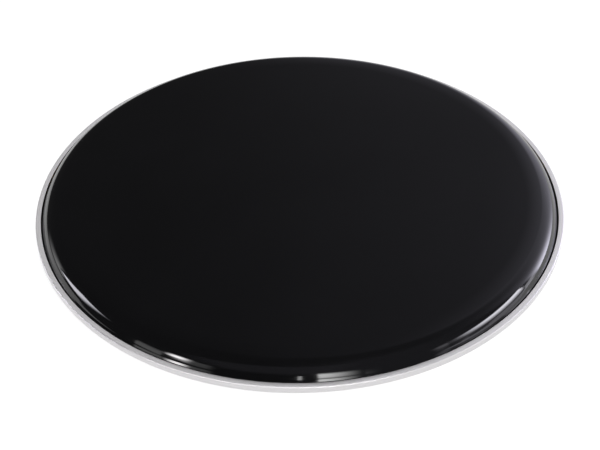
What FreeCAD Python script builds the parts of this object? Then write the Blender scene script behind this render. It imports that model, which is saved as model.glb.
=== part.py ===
"""Bass drum head: a formed film locked with cast resin into a rolled aluminium flesh hoop.

Millimetres, +Z up towards the playing side. The origin is the centre of the hoop's base plane.
Every piece is a turned section about Z, so each is written as a rounded outline in (radius, height).
"""

import FreeCAD, Part
import math
import os

Vector = FreeCAD.Vector

# Drum shell that the head slides over, a nominal 22 inch bass drum.
SHELL_DIAMETER = 558.8
SHELL_CLEARANCE = 1.0  # radial, between the shell and the hoop's bore

# Flesh hoop, a C section rolled from strip with its mouth at the top inner corner.
HOOP_STRIP = 1.0  # thickness of the strip
CHANNEL_WIDTH = 4.9  # clear width between the two walls
HOOP_HEIGHT = 8.0
HOOP_BEND = 1.6  # outside radius of the rolled corners
HOOP_EDGE_ROUND = 0.25  # broken edges of the strip
MOUTH_HEIGHT = 2.5  # from the inner wall's top to the underside of the lip
LIP_SETBACK = 0.1  # the lip's edge stands this far outside the inner wall

# Butt seam of the hoop and the strip that bridges it inside the channel.
SEAM_GAP = 0.2
SEAM_AZIMUTH = 90.0  # degrees from +X, at the back
SPLICE_LENGTH = 40.0  # along the channel's middle
SPLICE_THICKNESS = 0.6
SPLICE_SIDE_CLEARANCE = 0.1  # to the rolled corners beside it
SPLICE_COVER = 0.3  # resin between the splice and the film's hem

# Film: flat playing face, round shoulder, conical collar easing to a foot, and a hem in the channel.
FILM_THICKNESS = 0.25
CROWN_RISE = 14.2  # playing face above the hoop's lip
SHOULDER_RADIUS = 21.0
COLLAR_ANGLE = 59.5  # degrees between the collar and the playing face
FOOT_ANGLE = 53.0  # degrees, of the foot that enters the hoop's mouth
FOOT_RISE = 0.7  # where the collar meets its foot, above the hoop's lip
FOOT_RADIUS = 3.0
NECK_CLEARANCE = 0.6  # film above the corner of the hoop's inner wall
HEM_BEND = 0.8
HEM_GAP = 0.4  # hem's edge to the outer wall

# Punched holes round the collar's foot, through which the resin keys.
KEY_HOLE_COUNT = 96
KEY_HOLE_DIAMETER = 1.2

# Resin cast in the channel, below the top of the inner wall.
RESIN_FREEBOARD = 0.6

# Radii and heights that follow from the driving sizes.
BORE_RADIUS = SHELL_DIAMETER / 2 + SHELL_CLEARANCE
CHANNEL_INNER_RADIUS = BORE_RADIUS + HOOP_STRIP
CHANNEL_OUTER_RADIUS = CHANNEL_INNER_RADIUS + CHANNEL_WIDTH
HOOP_OUTER_RADIUS = CHANNEL_OUTER_RADIUS + HOOP_STRIP
LIP_RADIUS = CHANNEL_INNER_RADIUS + LIP_SETBACK
LIP_UNDERSIDE = HOOP_HEIGHT - HOOP_STRIP
INNER_WALL_TOP = LIP_UNDERSIDE - MOUTH_HEIGHT
CHANNEL_CORNER = HOOP_BEND - HOOP_STRIP
SPLICE_TOP = HOOP_STRIP + SPLICE_THICKNESS
HEM_UNDERSIDE = SPLICE_TOP + SPLICE_COVER
HEM_TOP = HEM_UNDERSIDE + FILM_THICKNESS
CROWN_TOP = HOOP_HEIGHT + CROWN_RISE
RESIN_TOP = INNER_WALL_TOP - RESIN_FREEBOARD

AXIS = Vector(0, 0, 1)
CENTRE = Vector(0, 0, 0)
FULL_TURN = 360.0
RING_SECTORS = 8  # the channel and its casting are swept in these equal sectors


def rounded_outline(corners):
    """Closed wire through (radius, height, rounding) corners in the XZ plane."""
    points = [Vector(r, 0, z) for r, z, _ in corners]
    edges = []
    starts = []
    ends = []
    arcs = []
    for i, (_, _, rounding) in enumerate(corners):
        corner = points[i]
        back = (points[i - 1] - corner).normalize()
        ahead = (points[(i + 1) % len(points)] - corner).normalize()
        if rounding == 0:
            starts.append(corner)
            ends.append(corner)
            arcs.append(None)
            continue
        half = back.getAngle(ahead) / 2
        reach = rounding / math.tan(half)
        inward = (back + ahead).normalize()
        middle = corner + inward * (rounding / math.sin(half) - rounding)
        starts.append(corner + back * reach)
        ends.append(corner + ahead * reach)
        arcs.append(Part.Arc(starts[-1], middle, ends[-1]).toShape())
    for i, arc in enumerate(arcs):
        if arc is not None:
            edges.append(arc)
        edges.append(Part.LineSegment(ends[i], starts[(i + 1) % len(starts)]).toShape())
    return Part.Wire(edges)


def turned(corners, start=0.0, spread=FULL_TURN, sectors=1):
    """Solid swept by a rounded outline round the Z axis, over a spread from a start azimuth."""
    section = Part.Face(rounded_outline(corners))
    step = spread / sectors
    swept = []
    for i in range(sectors):
        sector = section.revolve(CENTRE, AXIS, step)
        sector.rotate(CENTRE, AXIS, start + i * step)
        swept.append(sector)
    first, *others = swept
    return first.fuse(others) if others else first


class Line:
    """Straight part of the film's section, falling outwards at an angle below the horizontal."""

    def __init__(self, angle, reach):
        """The angle is in degrees, and the reach is the line's distance from the origin."""
        self.angle = angle
        self.reach = reach
        self.sine = math.sin(math.radians(angle))
        self.cosine = math.cos(math.radians(angle))

    def moved_to(self, radius, height):
        """The parallel line through a (radius, height) point."""
        return Line(self.angle, radius * self.sine + height * self.cosine)

    def raised(self, distance):
        """The parallel line at a distance towards the playing side."""
        return Line(self.angle, self.reach + distance)

    def crossing(self, other):
        """The (radius, height) where two lines cross."""
        turn = self.sine * other.cosine - self.cosine * other.sine
        radius = self.reach * other.cosine - other.reach * self.cosine
        height = other.reach * self.sine - self.reach * other.sine
        return radius / turn, height / turn


def level(height):
    """Horizontal line at a height."""
    return Line(0, height)


def film_lines():
    """Lines along the film's underside: playing face, collar, foot and hem."""
    neck = Line(FOOT_ANGLE, 0).moved_to(CHANNEL_INNER_RADIUS, INNER_WALL_TOP)
    foot = neck.raised(NECK_CLEARANCE)
    collar = Line(COLLAR_ANGLE, 0).moved_to(*foot.crossing(level(HOOP_HEIGHT + FOOT_RISE)))
    return [level(CROWN_TOP - FILM_THICKNESS), collar, foot, level(HEM_UNDERSIDE)]


def film_bends(lines, roundings):
    """Rounded corners between neighbouring lines, from the playing face to the hem."""
    return [(*a.crossing(b), rounding) for a, b, rounding in zip(lines, lines[1:], roundings)]


def make_flesh_hoop():
    """Rolled C channel, open at its butt seam."""
    gap = math.degrees(SEAM_GAP / HOOP_OUTER_RADIUS)
    return turned(
        [
            (HOOP_OUTER_RADIUS, 0, HOOP_BEND),
            (HOOP_OUTER_RADIUS, HOOP_HEIGHT, HOOP_BEND),
            (LIP_RADIUS, HOOP_HEIGHT, HOOP_EDGE_ROUND),
            (LIP_RADIUS, LIP_UNDERSIDE, HOOP_EDGE_ROUND),
            (CHANNEL_OUTER_RADIUS, LIP_UNDERSIDE, CHANNEL_CORNER),
            (CHANNEL_OUTER_RADIUS, HOOP_STRIP, CHANNEL_CORNER),
            (CHANNEL_INNER_RADIUS, HOOP_STRIP, CHANNEL_CORNER),
            (CHANNEL_INNER_RADIUS, INNER_WALL_TOP, HOOP_EDGE_ROUND),
            (BORE_RADIUS, INNER_WALL_TOP, HOOP_EDGE_ROUND),
            (BORE_RADIUS, 0, HOOP_BEND),
        ],
        start=SEAM_AZIMUTH + gap / 2,
        spread=FULL_TURN - gap,
        sectors=RING_SECTORS,
    )


def make_seam_splice():
    """Curved strip on the channel floor, centred on the seam."""
    side = CHANNEL_CORNER + SPLICE_SIDE_CLEARANCE
    inner = CHANNEL_INNER_RADIUS + side
    outer = CHANNEL_OUTER_RADIUS - side
    spread = math.degrees(SPLICE_LENGTH / ((inner + outer) / 2))
    return turned(
        [
            (inner, HOOP_STRIP, 0),
            (outer, HOOP_STRIP, 0),
            (outer, SPLICE_TOP, 0),
            (inner, SPLICE_TOP, 0),
        ],
        start=SEAM_AZIMUTH - spread / 2,
        spread=spread,
    )


def make_playing_film():
    """Formed film with a row of key holes round the foot of its collar."""
    hem_edge = CHANNEL_OUTER_RADIUS - HEM_GAP
    below = film_lines()
    above = [line.raised(FILM_THICKNESS) for line in below]
    # The shoulder curves round the underside, the two bends below it round the upper side.
    underside = film_bends(
        below,
        [SHOULDER_RADIUS - FILM_THICKNESS, FOOT_RADIUS + FILM_THICKNESS, HEM_BEND + FILM_THICKNESS],
    )
    upper_side = film_bends(above, [SHOULDER_RADIUS, FOOT_RADIUS, HEM_BEND])
    film = turned(
        [
            (0, CROWN_TOP - FILM_THICKNESS, 0),
            *underside,
            (hem_edge, HEM_UNDERSIDE, 0),
            (hem_edge, HEM_TOP, 0),
            *reversed(upper_side),
            (0, CROWN_TOP, 0),
        ]
    )
    _, _, foot, _ = above
    # Each hole is square to the foot, midway between the hem's bend and the top of the resin.
    bend_top = HEM_TOP + HEM_BEND * (1 - foot.cosine)
    key_radius, key_height = foot.crossing(level((bend_top + RESIN_TOP) / 2))
    normal = Vector(foot.sine, 0, foot.cosine)
    base = Vector(key_radius, 0, key_height) - normal * (2 * FILM_THICKNESS)
    punches = []
    for i in range(KEY_HOLE_COUNT):
        punch = Part.makeCylinder(KEY_HOLE_DIAMETER / 2, 3 * FILM_THICKNESS, base, normal)
        # Half a pitch off the seam, so that no key hole lies over it.
        punch.rotate(CENTRE, AXIS, SEAM_AZIMUTH + (i + 0.5) * FULL_TURN / KEY_HOLE_COUNT)
        punches.append(punch)
    return film.cut(punches)


def make_resin_bed(film, splice):
    """Casting that fills the channel round the film's hem and the splice."""
    casting = turned(
        [
            (CHANNEL_INNER_RADIUS, HOOP_STRIP, CHANNEL_CORNER),
            (CHANNEL_OUTER_RADIUS, HOOP_STRIP, CHANNEL_CORNER),
            (CHANNEL_OUTER_RADIUS, RESIN_TOP, 0),
            (CHANNEL_INNER_RADIUS, RESIN_TOP, 0),
        ],
        sectors=RING_SECTORS,
    )
    return casting.cut([film, splice])


def main():
    """Builds the pieces and writes one STEP file each."""
    film = make_playing_film()
    splice = make_seam_splice()
    pieces = {
        "flesh_hoop": make_flesh_hoop(),
        "playing_film": film,
        "resin_bed": make_resin_bed(film, splice),
        "seam_splice": splice,
    }
    os.makedirs("parts", exist_ok=True)
    for name, shape in pieces.items():
        box = shape.optimalBoundingBox()
        print(
            f"{name}: {len(shape.Solids)} solid, valid {shape.isValid()},"
            f" {shape.Volume:.1f} mm3, {box.XLength:.2f} x {box.YLength:.2f} x {box.ZLength:.2f} mm"
        )
        shape.exportStep(f"parts/{name}.step")


main()
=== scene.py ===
"""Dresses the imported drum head: a gloss black film in a satin aluminium flesh hoop, on a pale floor.

Metres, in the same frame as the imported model: +Z is the head's axis, and the floor is at zero.
"""

from __future__ import annotations

import logging
import math
from dataclasses import dataclass, field
from enum import Enum
from typing import Any, Mapping, Sequence, Union

import bpy
from mathutils import Matrix, Vector


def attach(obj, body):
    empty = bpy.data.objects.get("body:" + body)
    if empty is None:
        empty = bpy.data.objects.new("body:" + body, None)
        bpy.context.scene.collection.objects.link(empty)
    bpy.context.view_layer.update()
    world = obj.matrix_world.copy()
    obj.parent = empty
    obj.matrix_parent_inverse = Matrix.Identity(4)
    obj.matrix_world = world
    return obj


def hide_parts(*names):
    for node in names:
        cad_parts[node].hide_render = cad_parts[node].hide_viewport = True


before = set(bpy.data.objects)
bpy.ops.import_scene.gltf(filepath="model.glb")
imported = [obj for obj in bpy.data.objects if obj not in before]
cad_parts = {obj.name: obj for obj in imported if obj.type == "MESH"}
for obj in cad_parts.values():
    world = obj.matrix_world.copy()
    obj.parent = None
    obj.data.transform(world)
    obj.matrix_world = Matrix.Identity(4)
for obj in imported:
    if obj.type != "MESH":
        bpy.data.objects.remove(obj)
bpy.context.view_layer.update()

log = logging.getLogger("drum_head")

BODY = "root"
MM = 0.001
HALF_TURN = math.pi
FULL_TURN = 2 * HALF_TURN
QUARTER_TURN = HALF_TURN / 2
RIGHT_ANGLE = 90.0

Colour = tuple[float, float, float, float]
Point = tuple[float, float]
Triple = tuple[float, float, float]

UPWARD: Triple = (0.0, 0.0, 1.0)
DOWNWARD: Triple = (0.0, 0.0, -1.0)
LEFTWARD: Triple = (-1.0, 0.0, 0.0)
RIGHTWARD: Triple = (1.0, 0.0, 0.0)
BACKWARD: Triple = (0.0, 1.0, 0.0)

WHITE: Colour = (1.0, 1.0, 1.0, 1.0)
FLOOR_GREY: Colour = (0.86, 0.86, 0.86, 1.0)
LAVENDER: Colour = (0.87, 0.85, 1.0, 1.0)
PALE_LAVENDER: Colour = (0.93, 0.915, 1.0, 1.0)
PALE_ROSE: Colour = (1.0, 0.97, 0.99, 1.0)

# Sockets of a Mix node's two colours and of its result, which share their names with other types.
MIX_COLOURS = (6, 7)
MIX_RESULT = 2

# Fewest steps in a rounded corner.
LEAST_STEPS = 2
# Edges of a turned piece that bend more than this angle, in degrees, stay sharp.
CREASE = 40.0
# Points of a turned piece that are closer than this are one.
MERGE_DISTANCE = 0.000002
HOLE_SIDES = 12

TURNING_INPUTS = {
    "Section": "NodeSocketGeometry",
    "Steps": "NodeSocketInt",
    "Start": "NodeSocketFloat",
    "Spread": "NodeSocketFloat",
    "Ends": "NodeSocketBool",
    "Holes": "NodeSocketInt",
    "Hole circle": "NodeSocketFloat",
    "Hole radius": "NodeSocketFloat",
    "Hole height": "NodeSocketFloat",
    "Hole slope": "NodeSocketFloat",
    "Hole depth": "NodeSocketFloat",
    "Finish": "NodeSocketMaterial",
}


class Slot(Enum):
    """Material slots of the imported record."""

    ALUMINIUM = "rolled_aluminium"
    FILM = "black_film"


class Cad(Enum):
    """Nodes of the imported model."""

    HOOP = "flesh_hoop"
    FILM = "playing_film"
    RESIN = "resin_bed"
    SPLICE = "seam_splice"


class Value:
    """A number in a node tree. Python's operators on it add Math nodes."""

    def __init__(self, bench: Bench, socket: bpy.types.NodeSocket) -> None:
        """Wraps an output socket of a node on a bench."""
        self.bench = bench
        self.socket = socket

    def maths(self, operation: str, *others: Operand, clamp: bool = False) -> Value:
        """Adds a Math node that starts with this value.

        Args:
            operation: Blender's name of the operation.
            others: the operands after this one.
            clamp: keeps the result between 0 and 1.

        Returns:
            The node's result.
        """
        return self.bench.maths(operation, self, *others, clamp=clamp)

    def __add__(self, other: Operand) -> Value:
        """Sum."""
        return self.maths("ADD", other)

    def __radd__(self, other: Operand) -> Value:
        """Sum, with the number first."""
        return self.maths("ADD", other)

    def __sub__(self, other: Operand) -> Value:
        """Difference."""
        return self.maths("SUBTRACT", other)

    def __rsub__(self, other: Operand) -> Value:
        """Difference, with the number first."""
        return self.bench.maths("SUBTRACT", other, self)

    def __mul__(self, other: Operand) -> Value:
        """Product."""
        return self.maths("MULTIPLY", other)

    def __rmul__(self, other: Operand) -> Value:
        """Product, with the number first."""
        return self.maths("MULTIPLY", other)

    def __truediv__(self, other: Operand) -> Value:
        """Quotient."""
        return self.maths("DIVIDE", other)

    def __rtruediv__(self, other: Operand) -> Value:
        """Quotient, with the number first."""
        return self.bench.maths("DIVIDE", other, self)

    def __mod__(self, other: Operand) -> Value:
        """Remainder."""
        return self.maths("FLOORED_MODULO", other)

    def __neg__(self) -> Value:
        """Opposite."""
        return 0.0 - self

    def floor(self) -> Value:
        """Whole part."""
        return self.maths("FLOOR")

    def cos(self) -> Value:
        """Cosine."""
        return self.maths("COSINE")

    def sin(self) -> Value:
        """Sine."""
        return self.maths("SINE")

    def clamped(self) -> Value:
        """Kept between 0 and 1."""
        return self.maths("ADD", 0.0, clamp=True)

    def eased(self, low: float, high: float) -> Value:
        """Smooth step from 0 at the low value to 1 at the high one."""
        rise = ((self - low) / (high - low)).clamped()
        return rise * rise * (3.0 - 2.0 * rise)


Operand = Union[Value, float]


class Bench:
    """Adds nodes to one tree, of a material, a lamp, the world or Geometry Nodes."""

    def __init__(self, tree: bpy.types.NodeTree) -> None:
        """Starts from an empty tree."""
        self.tree = tree
        tree.nodes.clear()

    def node(
        self,
        kind: str,
        settings: Mapping[str, Any] | None = None,
        sockets: Mapping[str | int, Any] | None = None,
    ) -> bpy.types.Node:
        """Adds a node.

        Args:
            kind: Blender's type name.
            settings: the node's properties, set before the sockets.
            sockets: inputs by name or number, each a plain value, a Value or an output socket.

        Returns:
            The node.
        """
        made = self.tree.nodes.new(kind)
        for name, setting in (settings or {}).items():
            setattr(made, name, setting)
        for name, given in (sockets or {}).items():
            self.feed(made.inputs[name], given)
        return made

    def feed(self, target: bpy.types.NodeSocket, given: Any) -> None:
        """Links an input, or sets its value.

        Args:
            target: the input.
            given: a plain value, a Value or an output socket.
        """
        if isinstance(given, Value):
            self.tree.links.new(given.socket, target)
        elif isinstance(given, bpy.types.NodeSocket):
            self.tree.links.new(given, target)
        else:
            target.default_value = given

    def maths(self, operation: str, *operands: Operand, clamp: bool = False) -> Value:
        """Adds a Math node and gives its result.

        Args:
            operation: Blender's name of the operation.
            operands: numbers or values, in order.
            clamp: keeps the result between 0 and 1.

        Returns:
            The node's result.
        """
        made = self.node(
            "ShaderNodeMath",
            {"operation": operation, "use_clamp": clamp},
            dict(enumerate(operands)),
        )
        return self.value(made)

    def along(self, vector: bpy.types.NodeSocket, direction: Sequence[float]) -> Value:
        """A vector's length along a fixed direction.

        Args:
            vector: the vector's socket.
            direction: a unit vector.

        Returns:
            The length.
        """
        made = self.node(
            "ShaderNodeVectorMath", {"operation": "DOT_PRODUCT"}, {0: vector, 1: direction}
        )
        return self.value(made, "Value")

    def value(self, node: bpy.types.Node, output: str | int = 0) -> Value:
        """A node's output as a number."""
        return Value(self, node.outputs[output])


class Surface(Bench):
    """Node tree of one material, with a Principled shader at its end."""

    def __init__(self, name: str, **constants: Any) -> None:
        """Makes the material.

        Args:
            name: the material's name.
            constants: values of the shader's own sockets, with _ for a space.
        """
        self.material = bpy.data.materials.new(name)
        self.material.use_nodes = True
        super().__init__(self.material.node_tree)
        self.shader = self.node("ShaderNodeBsdfPrincipled")
        for socket, constant in constants.items():
            self.shader.inputs[socket.replace("_", " ")].default_value = constant
        self.node("ShaderNodeOutputMaterial", {}, {"Surface": self.shader.outputs["BSDF"]})
        self.place = self.node("ShaderNodeTexCoord").outputs["Object"]
        parts = self.node("ShaderNodeSeparateXYZ", {}, {0: self.place})
        self.x, self.y, self.z = (Value(self, out) for out in parts.outputs)
        self.radius = (self.x * self.x + self.y * self.y).maths("SQRT")

    def drive(self, socket: str, source: Any) -> None:
        """Feeds one of the shader's sockets."""
        self.feed(self.shader.inputs[socket], source)

    def noise(self, scale: float, detail: float) -> Value:
        """Noise from 0 to 1.

        Args:
            scale: cells to the metre.
            detail: octaves.

        Returns:
            The noise.
        """
        made = self.node(
            "ShaderNodeTexNoise",
            {"noise_dimensions": "3D"},
            {"Vector": self.place, "Scale": scale, "Detail": detail},
        )
        return self.value(made, "Fac")

    def streaks(self, across: float, along: float, detail: float) -> Value:
        """Noise drawn out round the head's axis, as rolling leaves it.

        Args:
            across: cells to the metre across the strip.
            along: cells to the metre round the hoop.
            detail: octaves.

        Returns:
            The noise, from 0 to 1.
        """
        vector = self.node(
            "ShaderNodeCombineXYZ",
            {},
            {"X": self.radius * across, "Y": self.x * along, "Z": self.y * along},
        )
        made = self.node(
            "ShaderNodeTexNoise",
            {"noise_dimensions": "4D"},
            {"Vector": vector.outputs[0], "W": self.z * across, "Scale": 1.0, "Detail": detail},
        )
        return self.value(made, "Fac")

    def blend(self, share: Value, first: Colour, second: Colour) -> bpy.types.NodeSocket:
        """Colour between two.

        Args:
            share: how much of the second, from 0 to 1.
            first: the colour at 0.
            second: the colour at 1.

        Returns:
            The colour's socket.
        """
        colours = dict(zip(MIX_COLOURS, (first, second)))
        made = self.node(
            "ShaderNodeMix", {"data_type": "RGBA"}, {"Factor": share.clamped(), **colours}
        )
        return made.outputs[MIX_RESULT]

    def bump(self, height: Value, distance: float) -> None:
        """Feeds the normal from a height, given in metres by its distance."""
        made = self.node("ShaderNodeBump", {}, {"Height": height, "Distance": distance})
        self.drive("Normal", made.outputs["Normal"])


@dataclass(frozen=True)
class FilmFinish:
    """Gloss black polyester, with the faint mottling of its coat.

    Scales are cells to the metre, and the peel's height is in metres.
    """

    name: str = "gloss_black_film"
    dark: Colour = (0.0014, 0.0014, 0.0016, 1.0)
    pale: Colour = (0.0028, 0.0028, 0.0032, 1.0)
    refraction: float = 1.5
    mottle_scale: float = 9.0
    mottle_detail: float = 4.0
    roughness: float = 0.05
    haze: float = 0.03
    haze_scale: float = 27.0
    haze_detail: float = 5.0
    peel_scale: float = 700.0
    peel_detail: float = 1.0
    peel_height: float = 0.0000004

    def make(self) -> bpy.types.Material:
        """Makes the material.

        Returns:
            The material.
        """
        surface = Surface(self.name, IOR=self.refraction)
        mottle = surface.noise(self.mottle_scale, self.mottle_detail)
        surface.drive("Base Color", surface.blend(mottle, self.dark, self.pale))
        cloud = surface.noise(self.haze_scale, self.haze_detail)
        surface.drive("Roughness", self.roughness + cloud * self.haze)
        surface.bump(surface.noise(self.peel_scale, self.peel_detail), self.peel_height)
        return surface.material


@dataclass(frozen=True)
class AluminiumFinish:
    """Satin aluminium strip under a thin clear lacquer, with rolling lines round the hoop.

    Scales are lines to the metre across the strip, runs are changes to the metre round the hoop, and the
    lines' height is in metres.
    """

    name: str = "satin_aluminium"
    dark: Colour = (0.57, 0.56, 0.567, 1.0)
    pale: Colour = (0.69, 0.679, 0.687, 1.0)
    roughness: float = 0.44
    spread: float = 0.12
    lacquer: float = 0.6
    lacquer_roughness: float = 0.22
    line_scale: float = 5200.0
    line_run: float = 3.0
    line_detail: float = 3.0
    line_height: float = 0.000004
    lines_to_band: float = 6.0
    band_run: float = 6.0
    band_detail: float = 2.0

    def make(self) -> bpy.types.Material:
        """Makes the material.

        Returns:
            The material.
        """
        surface = Surface(
            self.name,
            Metallic=1.0,
            Coat_Weight=self.lacquer,
            Coat_Roughness=self.lacquer_roughness,
        )
        lines = surface.streaks(self.line_scale, self.line_run, self.line_detail)
        band_scale = self.line_scale / self.lines_to_band
        bands = surface.streaks(band_scale, self.band_run, self.band_detail)
        surface.drive("Base Color", surface.blend(bands, self.dark, self.pale))
        surface.drive("Roughness", self.roughness + lines * self.spread)
        surface.bump(lines, self.line_height)
        return surface.material


@dataclass(frozen=True)
class ResinFinish:
    """Cured amber resin, slightly cloudy and with fine bubbles.

    Scales are cells to the metre, and the bubbles' height is in metres.
    """

    name: str = "amber_resin"
    deep: Colour = (0.27, 0.16, 0.055, 1.0)
    pale: Colour = (0.48, 0.34, 0.16, 1.0)
    refraction: float = 1.54
    roughness: float = 0.18
    spread: float = 0.2
    cloud_scale: float = 120.0
    cloud_detail: float = 4.0
    bubble_scale: float = 900.0
    bubble_detail: float = 2.0
    bubble_height: float = 0.00005

    def make(self) -> bpy.types.Material:
        """Makes the material.

        Returns:
            The material.
        """
        surface = Surface(self.name, IOR=self.refraction)
        cloud = surface.noise(self.cloud_scale, self.cloud_detail)
        surface.drive("Base Color", surface.blend(cloud, self.deep, self.pale))
        surface.drive("Roughness", self.roughness + cloud * self.spread)
        surface.bump(surface.noise(self.bubble_scale, self.bubble_detail), self.bubble_height)
        return surface.material


@dataclass(frozen=True)
class Corner:
    """Corner of a turned section, rounded between its two neighbours.

    Its facet is the angle in degrees at which its arc is divided.
    """

    radius: float
    height: float
    rounding: float = 0.0
    facet: float = RIGHT_ANGLE

    @property
    def place(self) -> Vector:
        """The sharp corner in (radius, height)."""
        return Vector((self.radius, self.height))


def rounded_section(corners: Sequence[Corner]) -> list[Point]:
    """Closed section through rounded corners.

    Args:
        corners: in order round the section, in metres.

    Returns:
        Points in (radius, height).
    """
    points: list[Point] = []
    for i, corner in enumerate(corners):
        here = corner.place
        back = (corners[i - 1].place - here).normalized()
        ahead = (corners[(i + 1) % len(corners)].place - here).normalized()
        if corner.rounding == 0:
            points.append((here.x, here.y))
            continue
        half = back.angle(ahead) / 2
        middle = here + (back + ahead).normalized() * (corner.rounding / math.sin(half))
        first = here + back * (corner.rounding / math.tan(half)) - middle
        sweep = HALF_TURN - 2 * half
        side = 1 if back.x * ahead.y - back.y * ahead.x < 0 else -1
        steps = max(LEAST_STEPS, round(math.degrees(sweep) / corner.facet))
        for step in range(steps + 1):
            turn = Matrix.Rotation(side * sweep * step / steps, 2)
            spot = middle + turn @ first
            points.append((spot.x, spot.y))
    return points


@dataclass(frozen=True)
class Line:
    """Straight part of the film's section, falling outwards below the horizontal.

    Its angle is in degrees, and its reach is its distance from the origin.
    """

    angle: float
    reach: float

    @property
    def sine(self) -> float:
        """Sine of the angle."""
        return math.sin(math.radians(self.angle))

    @property
    def cosine(self) -> float:
        """Cosine of the angle."""
        return math.cos(math.radians(self.angle))

    @classmethod
    def through(cls, place: Sequence[float], angle: float) -> Line:
        """The line at an angle through a point.

        Args:
            place: the point's (radius, height).
            angle: in degrees.

        Returns:
            The line.
        """
        flat = cls(angle, 0.0)
        radius, height = place
        return flat.raised(radius * flat.sine + height * flat.cosine)

    def raised(self, distance: float) -> Line:
        """The parallel line at a distance towards the playing side."""
        return Line(self.angle, self.reach + distance)

    def crossing(self, other: Line) -> Point:
        """Where two lines cross.

        Args:
            other: the other line.

        Returns:
            The crossing's (radius, height).
        """
        turn = self.sine * other.cosine - self.cosine * other.sine
        radius = self.reach * other.cosine - other.reach * self.cosine
        height = other.reach * self.sine - self.reach * other.sine
        return radius / turn, height / turn


def level(height: float) -> Line:
    """The flat line at a height."""
    return Line(0.0, height)


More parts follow.
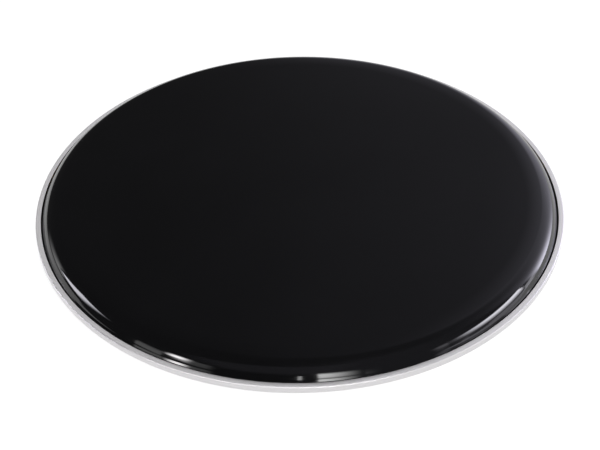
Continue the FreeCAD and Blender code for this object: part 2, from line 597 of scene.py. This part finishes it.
class TurningTree(Bench):
    """Geometry Nodes that turn a section round the head's axis, and may punch a ring of holes."""

    def __init__(self, name: str) -> None:
        """Builds the tree with its named inputs.

        Args:
            name: the tree's name.
        """
        super().__init__(bpy.data.node_groups.new(name, "GeometryNodeTree"))
        interface = self.tree.interface
        self.inputs: dict[str, str] = {}
        for socket, kind in TURNING_INPUTS.items():
            made = interface.new_socket(socket, in_out="INPUT", socket_type=kind)
            self.inputs[socket] = made.identifier
        interface.new_socket("Piece", in_out="OUTPUT", socket_type="NodeSocketGeometry")
        self.given = self.node("NodeGroupInput").outputs
        self._finish(self._punched(self._joined()))

    def _number(self, name: str) -> Value:
        """A named input as a number."""
        return Value(self, self.given[name])

    def _swept(self) -> bpy.types.NodeSocket:
        """Lays a grid round the axis: one row for each point of the section, closed on itself.

        Returns:
            The grid.
        """
        section = self.given["Section"]
        size = self.node(
            "GeometryNodeAttributeDomainSize", {"component": "MESH"}, {"Geometry": section}
        )
        count = self.value(size, "Point Count")
        columns = self._number("Steps") + 1
        grid = self.node(
            "GeometryNodeMeshGrid", {}, {"Vertices X": count + 1, "Vertices Y": columns}
        )
        index = self.value(self.node("GeometryNodeInputIndex"))
        row = (index / columns).floor() % count
        column = index % columns
        spot = self.node(
            "GeometryNodeSampleIndex",
            {"data_type": "FLOAT_VECTOR", "domain": "POINT"},
            {
                "Geometry": section,
                "Value": self.node("GeometryNodeInputPosition").outputs[0],
                "Index": row,
            },
        )
        parts = self.node("ShaderNodeSeparateXYZ", {}, {0: spot.outputs[0]})
        radius, height = self.value(parts, "X"), self.value(parts, "Y")
        angle = self._number("Start") + self._number("Spread") * column / self._number("Steps")
        place = self.node(
            "ShaderNodeCombineXYZ",
            {},
            {"X": radius * angle.cos(), "Y": radius * angle.sin(), "Z": height},
        )
        laid = self.node(
            "GeometryNodeSetPosition",
            {},
            {"Geometry": grid.outputs["Mesh"], "Position": place.outputs[0]},
        )
        return laid.outputs[0]

    def _end(self, angle: Value, turned: bool) -> bpy.types.NodeSocket:
        """The section as a face that closes one end of a part turn.

        Args:
            angle: where the end is, round the axis.
            turned: flips the face to look the other way.

        Returns:
            The face.
        """
        outline = self.node("GeometryNodeMeshToCurve", {}, {"Mesh": self.given["Section"]})
        face = self.node("GeometryNodeFillCurve", {"mode": "NGONS"}, {"Curve": outline.outputs[0]})
        upright = self.node(
            "GeometryNodeTransform",
            {},
            {"Geometry": face.outputs[0], "Rotation": (QUARTER_TURN, 0.0, 0.0)},
        )
        about_axis = self.node("ShaderNodeCombineXYZ", {}, {"Z": angle})
        placed = self.node(
            "GeometryNodeTransform",
            {},
            {"Geometry": upright.outputs[0], "Rotation": about_axis.outputs[0]},
        )
        if not turned:
            return placed.outputs[0]
        return self.node("GeometryNodeFlipFaces", {}, {"Mesh": placed.outputs[0]}).outputs[0]

    def _joined(self) -> bpy.types.NodeSocket:
        """Joins the swept grid and, for a part turn, its two ends, and merges their points.

        Returns:
            The solid.
        """
        start, spread = self._number("Start"), self._number("Spread")
        ends = self.node("GeometryNodeJoinGeometry")
        self.feed(ends.inputs[0], self._end(start, False))
        self.feed(ends.inputs[0], self._end(start + spread, True))
        chosen = self.node(
            "GeometryNodeSwitch",
            {"input_type": "GEOMETRY"},
            {"Switch": self.given["Ends"], "True": ends.outputs[0]},
        )
        whole = self.node("GeometryNodeJoinGeometry")
        self.feed(whole.inputs[0], self._swept())
        self.feed(whole.inputs[0], chosen.outputs[0])
        merged = self.node(
            "GeometryNodeMergeByDistance",
            {},
            {"Geometry": whole.outputs[0], "Distance": MERGE_DISTANCE},
        )
        return merged.outputs[0]

    def _punches(self) -> bpy.types.NodeSocket:
        """Sets pins in a ring, each square to the film where it goes through.

        Returns:
            The pins.
        """
        ring = self.node(
            "GeometryNodeMeshCircle",
            {"fill_type": "NONE"},
            {"Vertices": self.given["Holes"], "Radius": self.given["Hole circle"]},
        )
        half_pitch = self.node("ShaderNodeCombineXYZ", {}, {"Z": HALF_TURN / self._number("Holes")})
        lift = self.node("ShaderNodeCombineXYZ", {}, {"Z": self.given["Hole height"]})
        placed = self.node(
            "GeometryNodeTransform",
            {},
            {
                "Geometry": ring.outputs[0],
                "Translation": lift.outputs[0],
                "Rotation": half_pitch.outputs[0],
            },
        )
        pin = self.node(
            "GeometryNodeMeshCylinder",
            {"fill_type": "NGON"},
            {
                "Vertices": HOLE_SIDES,
                "Radius": self.given["Hole radius"],
                "Depth": self.given["Hole depth"],
            },
        )
        position = self.node("GeometryNodeInputPosition").outputs[0]
        spot = self.node("ShaderNodeSeparateXYZ", {}, {0: position})
        azimuth = self.value(spot, "Y").maths("ARCTAN2", self.value(spot, "X"))
        tilt = self.node(
            "ShaderNodeCombineXYZ", {}, {"Y": self.given["Hole slope"], "Z": azimuth}
        )
        outward = self.node("FunctionNodeEulerToRotation", {}, {0: tilt.outputs[0]})
        pins = self.node(
            "GeometryNodeInstanceOnPoints",
            {},
            {
                "Points": placed.outputs[0],
                "Instance": pin.outputs["Mesh"],
                "Rotation": outward.outputs[0],
            },
        )
        return self.node("GeometryNodeRealizeInstances", {}, {0: pins.outputs[0]}).outputs[0]

    def _punched(self, solid: bpy.types.NodeSocket) -> bpy.types.NodeSocket:
        """Punches the ring of holes, if there is one.

        Args:
            solid: the turned solid.

        Returns:
            The solid with its holes.
        """
        cut = self.node(
            "GeometryNodeMeshBoolean",
            {"operation": "DIFFERENCE", "solver": "EXACT"},
            {"Mesh 1": solid, "Mesh 2": self._punches()},
        )
        any_holes = self._number("Holes").maths("GREATER_THAN", 0.0)
        chosen = self.node(
            "GeometryNodeSwitch",
            {"input_type": "GEOMETRY"},
            {"Switch": any_holes, "False": solid, "True": cut.outputs[0]},
        )
        return chosen.outputs[0]

    def _finish(self, piece: bpy.types.NodeSocket) -> None:
        """Gives smooth shading, then real geometry with its material.

        Args:
            piece: the solid.
        """
        smooth = self.node("GeometryNodeSetShadeSmooth", {}, {"Geometry": piece})
        real = self.node("GeometryNodeRealizeInstances", {}, {0: smooth.outputs[0]})
        dressed = self.node(
            "GeometryNodeSetMaterial",
            {},
            {"Geometry": real.outputs[0], "Material": self.given["Finish"]},
        )
        self.node("NodeGroupOutput", {}, {0: dressed.outputs[0]})

    def turn(
        self, name: str, section: Sequence[Point], settings: Mapping[str, Any]
    ) -> bpy.types.Object:
        """Turns a section into a plain mesh piece.

        Args:
            name: the piece's name.
            section: closed section in (radius, height).
            settings: values of the tree's named inputs.

        Returns:
            The piece, at the origin.
        """
        outline = bpy.data.meshes.new(f"{name}_section")
        count = len(section)
        edges = [(i, (i + 1) % count) for i in range(count)]
        outline.from_pydata([(r, z, 0.0) for r, z in section], edges, [])
        host = bpy.data.objects.new(f"{name}_host", outline)
        bpy.context.scene.collection.objects.link(host)
        turning = host.modifiers.new("Turning", "NODES")
        turning.node_group = self.tree
        for key, given in settings.items():
            turning[self.inputs[key]] = given
        bpy.context.view_layer.update()
        seen = host.evaluated_get(bpy.context.evaluated_depsgraph_get())
        mesh = bpy.data.meshes.new_from_object(seen)
        mesh.name = name
        mesh.set_sharp_from_angle(angle=math.radians(CREASE))
        host.modifiers.remove(turning)
        bpy.data.objects.remove(host)
        piece = bpy.data.objects.new(name, mesh)
        bpy.context.scene.collection.objects.link(piece)
        return piece


@dataclass
class FleshHoop:
    """Rolled C channel, open at its mouth and at its butt seam. Facets are in degrees."""

    bore: float = 280.4 * MM
    strip: float = 1.0 * MM
    channel: float = 4.9 * MM
    height: float = 8.0 * MM
    bend: float = 1.6 * MM
    bend_facet: float = 6.0
    edge_round: float = 0.25 * MM
    small_facet: float = 15.0
    mouth: float = 2.5 * MM
    lip_setback: float = 0.1 * MM
    seam_gap: float = 0.2 * MM
    seam_azimuth: float = QUARTER_TURN
    steps: int = 432
    finish: AluminiumFinish = field(default_factory=AluminiumFinish)

    @property
    def inner(self) -> float:
        """Radius of the channel's inner wall, on the channel's side."""
        return self.bore + self.strip

    @property
    def outer(self) -> float:
        """Radius of the channel's outer wall, on the channel's side."""
        return self.inner + self.channel

    @property
    def rim(self) -> float:
        """Outer radius of the hoop."""
        return self.outer + self.strip

    @property
    def lip_underside(self) -> float:
        """Height of the lip's lower face."""
        return self.height - self.strip

    @property
    def wall_top(self) -> float:
        """Height of the inner wall."""
        return self.lip_underside - self.mouth

    def section(self) -> list[Point]:
        """The channel's closed section.

        Returns:
            Points in (radius, height).
        """
        lip = self.inner + self.lip_setback
        bend = (self.bend, self.bend_facet)
        edge = (self.edge_round, self.small_facet)
        inside = (self.bend - self.strip, self.small_facet)
        return rounded_section(
            [
                Corner(self.rim, 0.0, *bend),
                Corner(self.rim, self.height, *bend),
                Corner(lip, self.height, *edge),
                Corner(lip, self.lip_underside, *edge),
                Corner(self.outer, self.lip_underside, *inside),
                Corner(self.outer, self.strip, *inside),
                Corner(self.inner, self.strip, *inside),
                Corner(self.inner, self.wall_top, *edge),
                Corner(self.bore, self.wall_top, *edge),
                Corner(self.bore, 0.0, *bend),
            ]
        )

    def build(self, tree: TurningTree, material: bpy.types.Material) -> bpy.types.Object:
        """Turns the hoop and lets it stand for its CAD node.

        Args:
            tree: the turning tree.
            material: the hoop's finish.

        Returns:
            The piece.
        """
        gap = self.seam_gap / self.rim
        settings = {
            "Steps": self.steps,
            "Start": self.seam_azimuth + gap / 2,
            "Spread": FULL_TURN - gap,
            "Ends": True,
            "Holes": 0,
            "Finish": material,
        }
        piece = tree.turn("hoop", self.section(), settings)
        return mounted(piece, Slot.ALUMINIUM, Cad.HOOP)


@dataclass
class PlayingFilm:
    """Formed film: playing face, brow, shoulder, bowed collar, foot, neck, and a hem with key holes.

    Angles are in degrees below the horizontal, and facets in degrees, one for each bend from the brow to
    the hem. A key hole's punch is as long as a number of film thicknesses.
    """

    thickness: float = 0.25 * MM
    crown_top: float = 22.2 * MM
    brow_angle: float = 4.0
    brow_length: float = 18.6 * MM
    brow_radius: float = 225.0 * MM
    shoulder: float = 20.0 * MM
    collar_angle: float = 59.5
    collar_bow: float = 2.0
    bow_radius: float = 25.0 * MM
    foot_angle: float = 56.0
    neck_angle: float = 53.0
    foot_rise: float = 0.7 * MM
    foot_radius: float = 2.5 * MM
    neck_clearance: float = 0.6 * MM
    hem_underside: float = 1.9 * MM
    hem_bend: float = 0.8 * MM
    hem_gap: float = 0.4 * MM
    resin_top: float = 3.9 * MM
    key_holes: int = 96
    key_hole: float = 1.2 * MM
    punch_length: float = 3.0
    facets: Sequence[float] = (0.25, 1.5, 0.5, 1.0, 1.5, 9.0)
    steps: int = 432
    finish: FilmFinish = field(default_factory=FilmFinish)

    @property
    def hem_top(self) -> float:
        """Height of the hem's upper face."""
        return self.hem_underside + self.thickness

    def lines(self, hoop: FleshHoop) -> list[Line]:
        """Lines along the film's underside, from the playing face to the hem.

        The face eases into a brow, the collar is bowed and so has two lines, and a foot and a neck
        lead into the hoop.

        Args:
            hoop: the hoop that holds the film.

        Returns:
            The lines, each meeting the next at a bend.
        """
        crown = level(self.crown_top - self.thickness)
        neck = Line.through((hoop.inner, hoop.wall_top), self.neck_angle)
        neck = neck.raised(self.neck_clearance)
        foot = Line.through(neck.crossing(level(hoop.wall_top)), self.foot_angle)
        meeting = foot.crossing(level(hoop.height + self.foot_rise))
        collar = Line.through(meeting, self.collar_angle)
        brow_drop = self.brow_length * math.sin(math.radians(self.brow_angle))
        ridge = collar.crossing(crown.raised(-brow_drop))
        brow = Line.through(ridge, self.brow_angle)
        reach = self.shoulder * math.tan(math.radians(self.collar_angle - self.brow_angle) / 2)
        radius, height = ridge
        tangent = radius + reach * collar.cosine, height - reach * collar.sine
        middle = [(a + b) / 2 for a, b in zip(tangent, meeting)]
        upper = Line.through(middle, self.collar_angle - self.collar_bow)
        lower = Line.through(middle, self.collar_angle + self.collar_bow)
        return [crown, brow, upper, lower, foot, neck, level(self.hem_underside)]

    def bends(self, lines: Sequence[Line], raised: float) -> list[Corner]:
        """Rounded corners between neighbouring lines, on one side of the film.

        Args:
            lines: the film's underside.
            raised: distance of this side above the underside.

        Returns:
            Corners from the brow to the hem.
        """
        side = [line.raised(raised) for line in lines]
        below = self.thickness - raised
        roundings = (
            self.brow_radius - below,
            self.shoulder - below,
            self.bow_radius - below,
            self.foot_radius + below,
            self.foot_radius + below,
            self.hem_bend + below,
        )
        return [
            Corner(*a.crossing(b), rounding, facet)
            for a, b, rounding, facet in zip(side, side[1:], roundings, self.facets)
        ]

    def section(self, hoop: FleshHoop) -> list[Point]:
        """The film's closed section, from the axis out to the hem and back.

        Args:
            hoop: the hoop that holds the film.

        Returns:
            Points in (radius, height).
        """
        lines = self.lines(hoop)
        hem_edge = hoop.outer - self.hem_gap
        return rounded_section(
            [
                Corner(0.0, self.crown_top - self.thickness),
                *self.bends(lines, 0.0),
                Corner(hem_edge, self.hem_underside),
                Corner(hem_edge, self.hem_top),
                *reversed(self.bends(lines, self.thickness)),
                Corner(0.0, self.crown_top),
            ]
        )

    def build(
        self, tree: TurningTree, hoop: FleshHoop, material: bpy.types.Material
    ) -> bpy.types.Object:
        """Turns and punches the film, and lets it stand for its CAD node.

        Args:
            tree: the turning tree.
            hoop: the hoop that holds the film.
            material: the film's finish.

        Returns:
            The piece.
        """
        *_, neck, _ = self.lines(hoop)
        bend_top = self.hem_top + self.hem_bend * (1 - neck.cosine)
        middle = level((bend_top + self.resin_top) / 2)
        key_radius, key_height = neck.raised(self.thickness).crossing(middle)
        settings = {
            "Steps": self.steps,
            "Start": hoop.seam_azimuth,
            "Spread": FULL_TURN,
            "Ends": False,
            "Holes": self.key_holes,
            "Hole circle": key_radius - neck.sine * self.thickness / 2,
            "Hole radius": self.key_hole / 2,
            "Hole height": key_height - neck.cosine * self.thickness / 2,
            "Hole slope": math.radians(neck.angle),
            "Hole depth": self.punch_length * self.thickness,
            "Finish": material,
        }
        piece = tree.turn("film", self.section(hoop), settings)
        return mounted(piece, Slot.FILM, Cad.FILM)


def mounted(piece: bpy.types.Object, slot: Slot, node: Cad) -> bpy.types.Object:
    """Fixes a new piece to the body, in the place of a CAD node.

    Args:
        piece: the new piece.
        slot: its material slot; not used.
        node: the CAD node that it stands for.

    Returns:
        The piece.
    """
    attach(piece, BODY)
    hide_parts(node.value)
    log.info("%s: %d faces", piece.name, len(piece.data.polygons))
    return piece


def dress(node: Cad, material: bpy.types.Material) -> None:
    """Gives a CAD node its finish.

    Args:
        node: the CAD node, which keeps its mesh.
        material: the finish.
    """
    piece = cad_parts[node.value]
    piece.data.materials.clear()
    piece.data.materials.append(material)
    log.info("%s: %d faces, dressed", piece.name, len(piece.data.polygons))


@dataclass(frozen=True)
class SoftBox:
    """Rectangular lamp.

    Its radiance is against white at 1, and its lean is its turn in its own plane, in degrees. Its fades
    are shares of its size over which it dims towards its left, right, lower and upper edge. A slant makes
    its lit part a parallelogram, whose top is moved by that share of the width. A lamp that isn't
    mirrored lights matt surfaces only. A lamp may leave one piece unlit, as a flag beside it does.
    """

    name: str
    place: Triple
    width: float
    height: float
    radiance: float
    lean: float = 0.0
    tint: Colour = WHITE
    facing: Triple = DOWNWARD
    fades: tuple[float, float, float, float] = (0.0, 0.0, 0.0, 0.0)
    slant: float = 0.0
    mirrored: bool = True
    unlit: str = ""

    def build(self) -> bpy.types.Object:
        """Makes the lamp.

        Returns:
            The lamp.
        """
        data = bpy.data.lights.new(self.name, "AREA")
        data.shape = "RECTANGLE"
        data.size, data.size_y = self.width, self.height
        data.energy = self.radiance * math.pi * self.width * self.height
        self._soften(data)
        lamp = bpy.data.objects.new(self.name, data)
        lamp.location = self.place
        turn = Vector(self.facing).to_track_quat("-Z", "Y").to_matrix().to_4x4()
        turn = turn @ Matrix.Rotation(math.radians(self.lean), 4, "Z")
        lamp.rotation_euler = turn.to_euler()
        lamp.visible_camera = False
        lamp.visible_glossy = self.mirrored
        bpy.context.scene.collection.objects.link(lamp)
        if self.unlit:
            shaded = bpy.data.collections.new(f"{self.name}_unlit")
            shaded.objects.link(bpy.data.objects[self.unlit])
            lamp.light_linking.receiver_collection = shaded
            shaded.collection_objects[0].light_linking.link_state = "EXCLUDE"
        return lamp

    def _soften(self, data: bpy.types.Light) -> None:
        """Gives the lamp its tint and lets it fade towards its edges.

        Args:
            data: the lamp's data.
        """
        data.use_nodes = True
        bench = Bench(data.node_tree)
        spot = bench.node("ShaderNodeNewGeometry").outputs["Parametric"]
        parts = bench.node("ShaderNodeSeparateXYZ", {}, {0: spot})
        across, upwards = bench.value(parts, "X"), bench.value(parts, "Y")
        if self.slant:
            across = (across - upwards * self.slant) / (1.0 - self.slant)
        share: Operand = 1.0
        for run, fade in zip((across, 1.0 - across, upwards, 1.0 - upwards), self.fades):
            if fade > 0:
                share = run.eased(0.0, fade) * share
        light = bench.node("ShaderNodeEmission", {}, {"Color": self.tint, "Strength": share})
        bench.node("ShaderNodeOutputLight", {}, {"Surface": light.outputs[0]})


def bearing(azimuth: float, elevation: float) -> Vector:
    """Unit vector towards a place in the surround.

    Args:
        azimuth: from the right towards the back, in degrees.
        elevation: above the horizon, in degrees.

    Returns:
        The vector.
    """
    turn, rise = math.radians(azimuth), math.radians(elevation)
    return Vector(
        (math.cos(rise) * math.cos(turn), math.cos(rise) * math.sin(turn), math.sin(rise))
    )


@dataclass(frozen=True)
class Surround:
    """Dim room, with a pale wall at the head's back right.

    A window stands low at the wall's near end, a thin haze lies to the right, a glow lies low at the back,
    and a pale card hangs in front. Radiances are against white at 1. A pair of numbers says where
    something sets in and is full, or begins to fade and is gone, along one axis of a unit vector.
    """

    sky: Colour = (0.99, 0.98, 1.0, 1.0)
    ambient: float = 0.06
    tint: Colour = LAVENDER
    wall: float = 1.0
    near_edge: tuple[Vector, Vector] = (bearing(17.0, 0.0), bearing(12.0, 22.0))
    near_blur: float = 0.05
    near_spread: float = 0.5
    far_azimuth: float = 71.0
    far_blur: float = 0.12
    wall_top: Point = (0.30, 0.95)
    window: float = 8.0
    window_bearing: Vector = bearing(22.0, 3.0)
    window_narrowness: float = 36.0
    haze: float = 0.17
    haze_right: Point = (-0.20, 0.35)
    haze_thin: float = 0.22
    haze_back: Point = (0.36, 0.62)
    haze_return: float = 0.42
    haze_front: Point = (-0.05, 0.30)
    glow: float = 0.5
    glow_top: float = 0.56
    glow_left: Point = (-0.10, 0.10)
    glow_right: Point = (0.20, 0.45)
    card: float = 0.13
    card_front: Point = (0.30, 0.46)
    card_low: Point = (0.35, 0.60)
    card_left: Point = (-0.70, -0.40)
    card_right: Point = (0.10, 0.35)

    def build(self) -> None:
        """Makes it the scene's world."""
        world = bpy.data.worlds.new("studio")
        bpy.context.scene.world = world
        world.use_nodes = True
        bench = Bench(world.node_tree)
        towards = bench.node("ShaderNodeTexCoord").outputs["Generated"]
        sky = bench.node("ShaderNodeBackground", {}, {"Color": self.sky, "Strength": self.ambient})
        lit = bench.node(
            "ShaderNodeBackground", {}, {"Color": self.tint, "Strength": self._lit(bench, towards)}
        )
        both = bench.node("ShaderNodeAddShader", {}, {0: sky.outputs[0], 1: lit.outputs[0]})
        bench.node("ShaderNodeOutputWorld", {}, {"Surface": both.outputs[0]})

    def _lit(self, bench: Bench, towards: bpy.types.NodeSocket) -> Value:
        """Radiance of all but the sky.

        Args:
            bench: the world's tree.
            towards: the direction looked in.

        Returns:
            Radiance in that direction.
        """
        rightward, backward, rise = (
            bench.along(towards, axis) for axis in (RIGHTWARD, BACKWARD, UPWARD)
        )
        frontward = -backward
        spread = self.haze * rightward.eased(*self.haze_right)
        thick = self.haze_thin + (1.0 - self.haze_thin) * backward.eased(*self.haze_back)
        haze = spread * (thick + self.haze_return * frontward.eased(*self.haze_front))
        low = (1.0 - rise / self.glow_top).clamped()
        behind = rightward.eased(*self.glow_left) * (1.0 - rightward.eased(*self.glow_right))
        glow = self.glow * low * behind * backward.eased(0.0, 1.0)
        across = rightward.eased(*self.card_left) * (1.0 - rightward.eased(*self.card_right))
        upright = frontward.eased(*self.card_front) * rise.eased(*self.card_low)
        card = self.card * across * upright
        return self._walled(bench, towards, rise) + haze + glow + card

    def _walled(self, bench: Bench, towards: bpy.types.NodeSocket, rise: Value) -> Value:
        """Radiance of the wall and its window, which both end at the near edge.

        Args:
            bench: the world's tree.
            towards: the direction looked in.
            rise: the direction's upward part.

        Returns:
            Radiance in that direction.
        """
        low, high = self.near_edge
        past_near = bench.along(towards, high.cross(low).normalized())
        blur = self.near_blur + self.near_spread * (rise - high.z).maths("MAXIMUM", 0.0)
        near = (past_near / blur).eased(-1.0, 1.0)
        past_far = bench.along(towards, bearing(self.far_azimuth - RIGHT_ANGLE, 0.0))
        far = past_far.eased(-self.far_blur, self.far_blur)
        face = far * (1.0 - rise.eased(*self.wall_top)) * self.wall
        off = bench.along(towards, self.window_bearing) - 1.0
        window = self.window * (off * self.window_narrowness).maths("EXPONENT")
        return near * (face + window)


@dataclass(frozen=True)
class Floor:
    """Pale floor, which shows as white and keeps the head's shadow."""

    size: float = 12.0
    drop: float = 0.0002
    shown_white: float = 0.82
    colour: Colour = FLOOR_GREY

    def build(self) -> bpy.types.Object:
        """Lays the floor.

        Returns:
            The floor.
        """
        half = self.size / 2
        signs = ((-1, -1), (1, -1), (1, 1), (-1, 1))
        corners = [(x * half, y * half, -self.drop) for x, y in signs]
        mesh = bpy.data.meshes.new("floor")
        mesh.from_pydata(corners, [], [tuple(range(len(corners)))])
        mesh.materials.append(self._material())
        floor = bpy.data.objects.new("floor", mesh)
        bpy.context.scene.collection.objects.link(floor)
        return floor

    def _material(self) -> bpy.types.Material:
        """Makes it matt, and mostly plain white where it is seen or mirrored.

        Returns:
            The material.
        """
        material = bpy.data.materials.new("pale_floor")
        material.use_nodes = True
        bench = Bench(material.node_tree)
        path = bench.node("ShaderNodeLightPath")
        seen = bench.value(path, "Is Camera Ray")
        for ray in ("Is Glossy Ray", "Is Transmission Ray"):
            seen = seen.maths("MAXIMUM", bench.value(path, ray))
        matt = bench.node("ShaderNodeBsdfDiffuse", {}, {"Color": self.colour})
        white = bench.node("ShaderNodeEmission", {}, {"Color": WHITE, "Strength": 1.0})
        mixed = bench.node(
            "ShaderNodeMixShader",
            {},
            {0: seen * self.shown_white, 1: matt.outputs[0], 2: white.outputs[0]},
        )
        bench.node("ShaderNodeOutputMaterial", {}, {"Surface": mixed.outputs[0]})
        return material


@dataclass(frozen=True)
class Viewpoint:
    """Where the photograph was taken from. Angles are in degrees, the sensor and lens in millimetres."""

    place: Triple = (0.0, -1.0419, 0.8227)
    pan: float = 0.0092
    tilt: float = 39.4733
    roll: float = -0.9582
    sensor: float = 36.0
    lens: float = 72.0
    nearest: float = 0.01
    farthest: float = 50.0

    def build(self) -> bpy.types.Object:
        """Makes the camera and sets it as the scene's own.

        Returns:
            The camera.
        """
        pan, tilt, roll = (math.radians(v) for v in (self.pan, self.tilt, self.roll))
        ahead = Vector(
            (math.sin(pan) * math.cos(tilt), math.cos(pan) * math.cos(tilt), -math.sin(tilt))
        )
        right = Vector((math.cos(pan), -math.sin(pan), 0.0))
        up = right.cross(ahead)
        across = math.cos(roll) * right + math.sin(roll) * up
        upward = -math.sin(roll) * right + math.cos(roll) * up
        data = bpy.data.cameras.new("camera")
        data.sensor_width = self.sensor
        data.lens = self.lens
        data.clip_start, data.clip_end = self.nearest, self.farthest
        camera = bpy.data.objects.new("camera", data)
        turn = Matrix((across, upward, -ahead)).transposed().to_4x4()
        camera.matrix_world = Matrix.Translation(self.place) @ turn
        bpy.context.scene.collection.objects.link(camera)
        bpy.context.scene.camera = camera
        return camera


@dataclass
class Studio:
    """Floor, surround, soft lamps and camera."""

    floor: Floor = field(default_factory=Floor)
    surround: Surround = field(default_factory=Surround)
    viewpoint: Viewpoint = field(default_factory=Viewpoint)
    lamps: Sequence[SoftBox] = (
        SoftBox(
            "overhead", (0.0, 0.0, 2.4), width=2.2, height=2.2, radiance=3.6, mirrored=False
        ),
        SoftBox("canopy", (0.0, 0.0, 2.3), width=1.6, height=1.6, radiance=1.4, unlit="film"),
        SoftBox(
            "backdrop", (-0.4, 2.3, 1.70), width=5.0, height=2.0, radiance=1.2,
            facing=(0.0, -1.0, -0.7), fades=(0.0, 0.0, 0.7, 0.0), unlit="film",
        ),
        SoftBox(
            "front_fill", (-0.1, -2.0, 1.45), width=3.2, height=1.0, radiance=3.2,
            facing=(0.0, 1.0, -0.45), unlit="film",
        ),
        SoftBox(
            "right_fill", (1.7, -0.60, 0.80), width=1.3, height=0.5, radiance=4.0,
            facing=(-1.0, 0.3, -0.4), unlit="film",
        ),
        SoftBox(
            "right_box", (1.6, -0.54, 0.475), width=1.20, height=0.62, radiance=16.0, lean=-7.0,
            tint=PALE_LAVENDER, facing=LEFTWARD, fades=(0.6, 0.03, 0.8, 0.2), unlit="hoop",
        ),
        SoftBox(
            "right_spill", (1.6, -0.75, 0.16), width=1.5, height=0.34, radiance=1.6,
            tint=PALE_LAVENDER, facing=LEFTWARD, fades=(0.3, 0.0, 0.0, 0.4), unlit="hoop",
        ),
        SoftBox(
            "right_low", (1.6, 0.06, 0.19), width=0.44, height=0.38, radiance=3.2,
            tint=PALE_LAVENDER, facing=LEFTWARD, fades=(0.25, 0.3, 0.0, 0.4), unlit="hoop",
        ),
        SoftBox(
            "right_glow", (1.6, -1.18, 0.62), width=0.56, height=0.64, radiance=1.3,
            tint=PALE_LAVENDER, facing=LEFTWARD, fades=(0.4, 0.4, 0.4, 0.4), unlit="hoop",
        ),
        SoftBox(
            "left_box", (-1.6, 0.0, 0.48), width=0.84, height=0.52, radiance=10.0, lean=-4.0,
            tint=PALE_LAVENDER, facing=RIGHTWARD, fades=(0.06, 0.6, 0.15, 0.15), slant=0.34,
        ),
        SoftBox(
            "left_spill", (-1.6, 0.65, 0.36), width=0.80, height=0.66, radiance=2.0,
            facing=RIGHTWARD, fades=(0.9, 0.1, 0.2, 0.7),
        ),
        SoftBox(
            "front_left", (-1.54, -1.50, 0.74), width=0.46, height=0.60, radiance=24.0,
            tint=PALE_ROSE, facing=(0.74, 0.67, 0.0), fades=(0.4, 0.5, 0.2, 0.5),
        ),
        SoftBox(
            "front_left_spill", (-1.79, -1.16, 0.50), width=0.42, height=0.60, radiance=1.4,
            facing=(0.85, 0.53, 0.0), fades=(0.05, 0.0, 0.1, 0.7),
        ),
        SoftBox(
            "front_left_glow", (-1.20, -1.6, 0.54), width=0.44, height=0.56, radiance=0.8,
            facing=(0.6, 0.8, 0.0), fades=(0.3, 0.4, 0.5, 0.3),
        ),
        SoftBox(
            "front_right", (0.39, -1.6, 0.51), width=0.50, height=0.74, radiance=14.0,
            facing=BACKWARD, fades=(0.05, 0.95, 0.6, 0.6),
        ),
        SoftBox(
            "front_right_spill", (0.50, -1.6, 0.34), width=0.72, height=0.46, radiance=1.5,
            facing=BACKWARD, fades=(0.1, 0.7, 0.0, 0.5),
        ),
        SoftBox(
            "front_spot", (-0.025, -1.6, 0.34), width=0.04, height=0.28, radiance=6.0,
            facing=BACKWARD,
        ),
    )

    def build(self) -> None:
        """Sets the whole stage."""
        bpy.context.scene.view_settings.view_transform = "Standard"
        self.floor.build()
        self.surround.build()
        for lamp in self.lamps:
            lamp.build()
        self.viewpoint.build()
        log.info("studio: %d lamps", len(self.lamps))


def main() -> None:
    """Builds and dresses the pieces in order, then the stage."""
    logging.basicConfig(level=logging.INFO, format="%(name)s: %(message)s")
    hoop, film = FleshHoop(), PlayingFilm()
    aluminium = hoop.finish.make()
    tree = TurningTree("turned_piece")
    hoop.build(tree, aluminium)
    film.build(tree, hoop, film.finish.make())
    dress(Cad.RESIN, ResinFinish().make())
    dress(Cad.SPLICE, aluminium)
    Studio().build()


if __name__ == "__main__":
    main()
